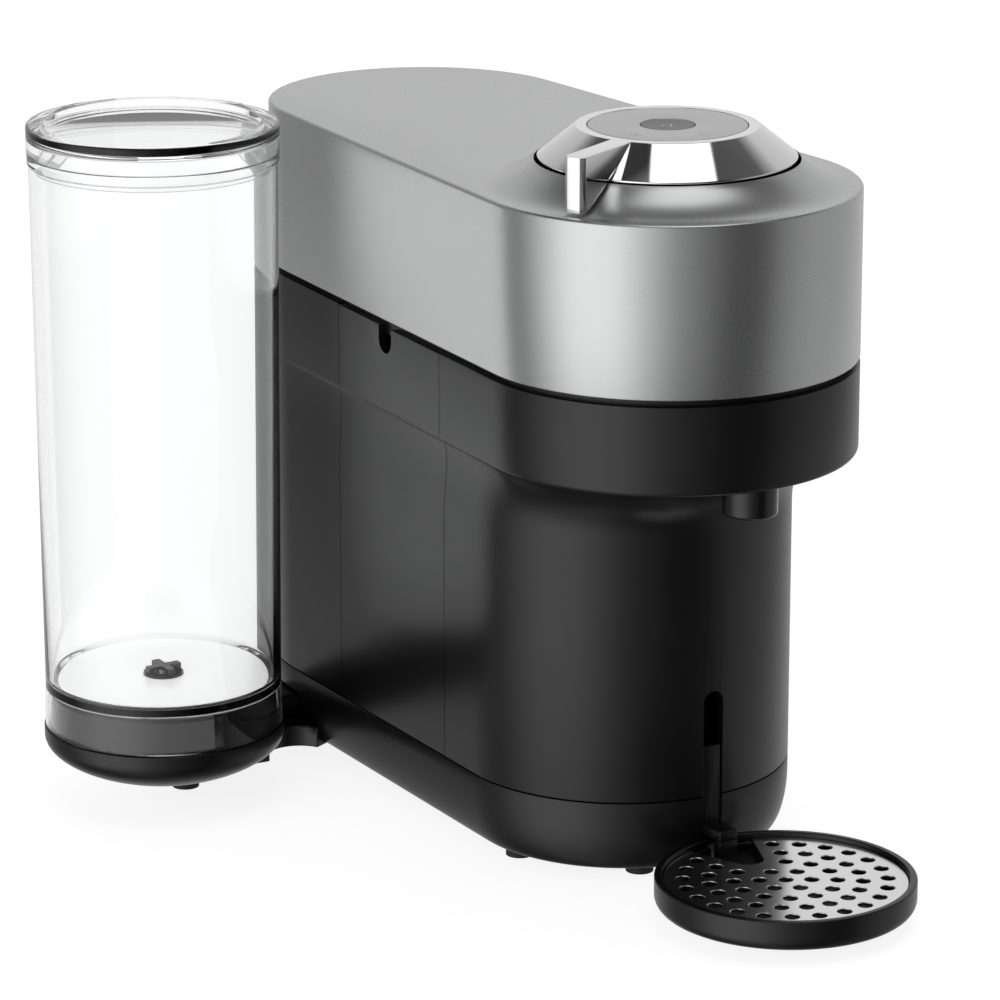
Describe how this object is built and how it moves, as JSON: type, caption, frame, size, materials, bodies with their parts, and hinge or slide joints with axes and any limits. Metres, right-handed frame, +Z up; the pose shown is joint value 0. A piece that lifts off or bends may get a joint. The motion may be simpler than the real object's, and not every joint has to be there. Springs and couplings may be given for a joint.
{
  "type": "pod coffee machine",
  "caption": "Pod coffee machine: round-fronted head with lever lid on a slim column, side water tank on a fixed arm, lift-out round drip tray.",
  "frame": {"origin": "middle of the footprint of the whole machine, on the table", "axes": "+Z up, +Y from the drip tray at the front to the rear wall, +X to the right of someone facing the front from behind the machine's own left-hand tank; the tank is on the -X side"},
  "size_m": [0.2371, 0.351, 0.266],
  "materials": {
    "satin_metal": "satin metallic grey",
    "black_plastic": "fine satin grain",
    "deep_black": "matt, inside the seams",
    "gloss_black": "polished",
    "clear_plastic": "clear, polished",
    "chrome": "polished",
    "satin_disc": "satin, turned",
    "button_grey": "satin",
    "pierced_steel": "brushed",
    "rubber": "matt",
    "steel": "bright",
    "frame_grey": "plain",
    "motor_steel": "plain",
    "cast_alloy": "cast",
    "board_green": "lacquered",
    "milky_hose": "satin"
  },
  "bodies": {
    "machine": {"upper_shell": "satin_metal", "upper_frame": "deep_black", "body_shell": "black_plastic", "base_shell": "black_plastic", "base_plate": "black_plastic", "rubber_feet": "rubber", "case_screws": "steel", "dock_cover": "gloss_black", "arm_duct": "black_plastic", "dock_spigot": "gloss_black", "chassis_deck": "frame_grey", "chassis_bulkhead": "frame_grey", "hinge_bracket": "frame_grey", "hinge_pin": "steel", "brew_chamber": "frame_grey", "holder_bearing": "steel", "motor_stator": "motor_steel", "outlet_duct": "frame_grey", "outlet_spout": "gloss_black", "water_pump": "motor_steel", "pump_mounts": "rubber", "heater_block": "cast_alloy", "flow_meter": "frame_grey", "control_board": "board_green", "suction_hose": "milky_hose", "pump_hose": "milky_hose", "brew_hose": "milky_hose", "cord_gland": "rubber"},
    "lid": {"lid_cap": "deep_black", "lid_disc": "satin_disc", "lid_board": "board_green", "lid_seal": "rubber", "clamp_bearing": "steel", "button_spring": "steel"},
    "lever": {"lever_ring": "chrome"},
    "button": {"brew_button": "button_grey"},
    "clamp": {"pod_clamp": "frame_grey"},
    "spinner": {"pod_holder": "steel", "motor_rotor": "motor_steel"},
    "tray": {"drip_tray": "black_plastic", "tray_stem": "black_plastic"},
    "grid": {"drip_grid": "pierced_steel"},
    "container": {"pod_container": "black_plastic"},
    "tank": {"tank_body": "clear_plastic", "tank_valve": "gloss_black", "valve_spring": "steel", "valve_seal": "rubber"},
    "tank_cover": {"tank_lid": "clear_plastic"},
    "poppet": {"valve_poppet": "gloss_black"}
  },
  "joints": [
    {"name": "lid_hinge", "type": "hinge", "parent": "machine", "child": "lid", "pos_m": [0.05055, 0.00955, 0.236], "axis": [-1, 0, 0], "range_deg": [0, 70]},
    {"name": "lever_turn", "type": "hinge", "parent": "lid", "child": "lever", "pos_m": [0.05055, -0.05045, 0.26], "axis": [0, 0, 1], "range_deg": [0, 68]},
    {"name": "brew_button_press", "type": "slide", "parent": "lid", "child": "button", "axis": [0, 0, -1], "range_m": [0, 0.0012], "stiffness_N_per_m": 400, "springref_m": -0.0005, "deforming": ["button_spring"]},
    {"name": "clamp_spin", "type": "hinge", "parent": "lid", "child": "clamp", "pos_m": [0.05055, -0.05045, 0.22], "axis": [0, 0, 1], "continuous": true},
    {"name": "pod_spin", "type": "hinge", "parent": "machine", "child": "spinner", "pos_m": [0.05055, -0.05045, 0.18], "axis": [0, 0, 1], "continuous": true},
    {"name": "tray_lift", "type": "slide", "parent": "machine", "child": "tray", "axis": [0, 0, 1], "range_m": [0, 0.016]},
    {"name": "grid_lift", "type": "slide", "parent": "tray", "child": "grid", "axis": [0, 0, 1], "range_m": [0, 0.03]},
    {"name": "container_slide", "type": "slide", "parent": "machine", "child": "container", "axis": [-1, 0, 0], "range_m": [0, 0.022]},
    {"name": "tank_lift", "type": "slide", "parent": "machine", "child": "tank", "axis": [0, 0, 1], "range_m": [0, 0.06]},
    {"name": "tank_lid_lift", "type": "slide", "parent": "tank", "child": "tank_cover", "axis": [0, 0, 1], "range_m": [0, 0.03]},
    {"name": "valve_lift", "type": "slide", "parent": "tank", "child": "poppet", "axis": [0, 0, 1], "range_m": [0, 0.0015], "stiffness_N_per_m": 200, "springref_m": -0.0005, "deforming": ["valve_spring"]}
  ],
  "couplings": [
    {"joint": "clamp_spin", "follows": "pod_spin", "ratio": 1}
  ]
}
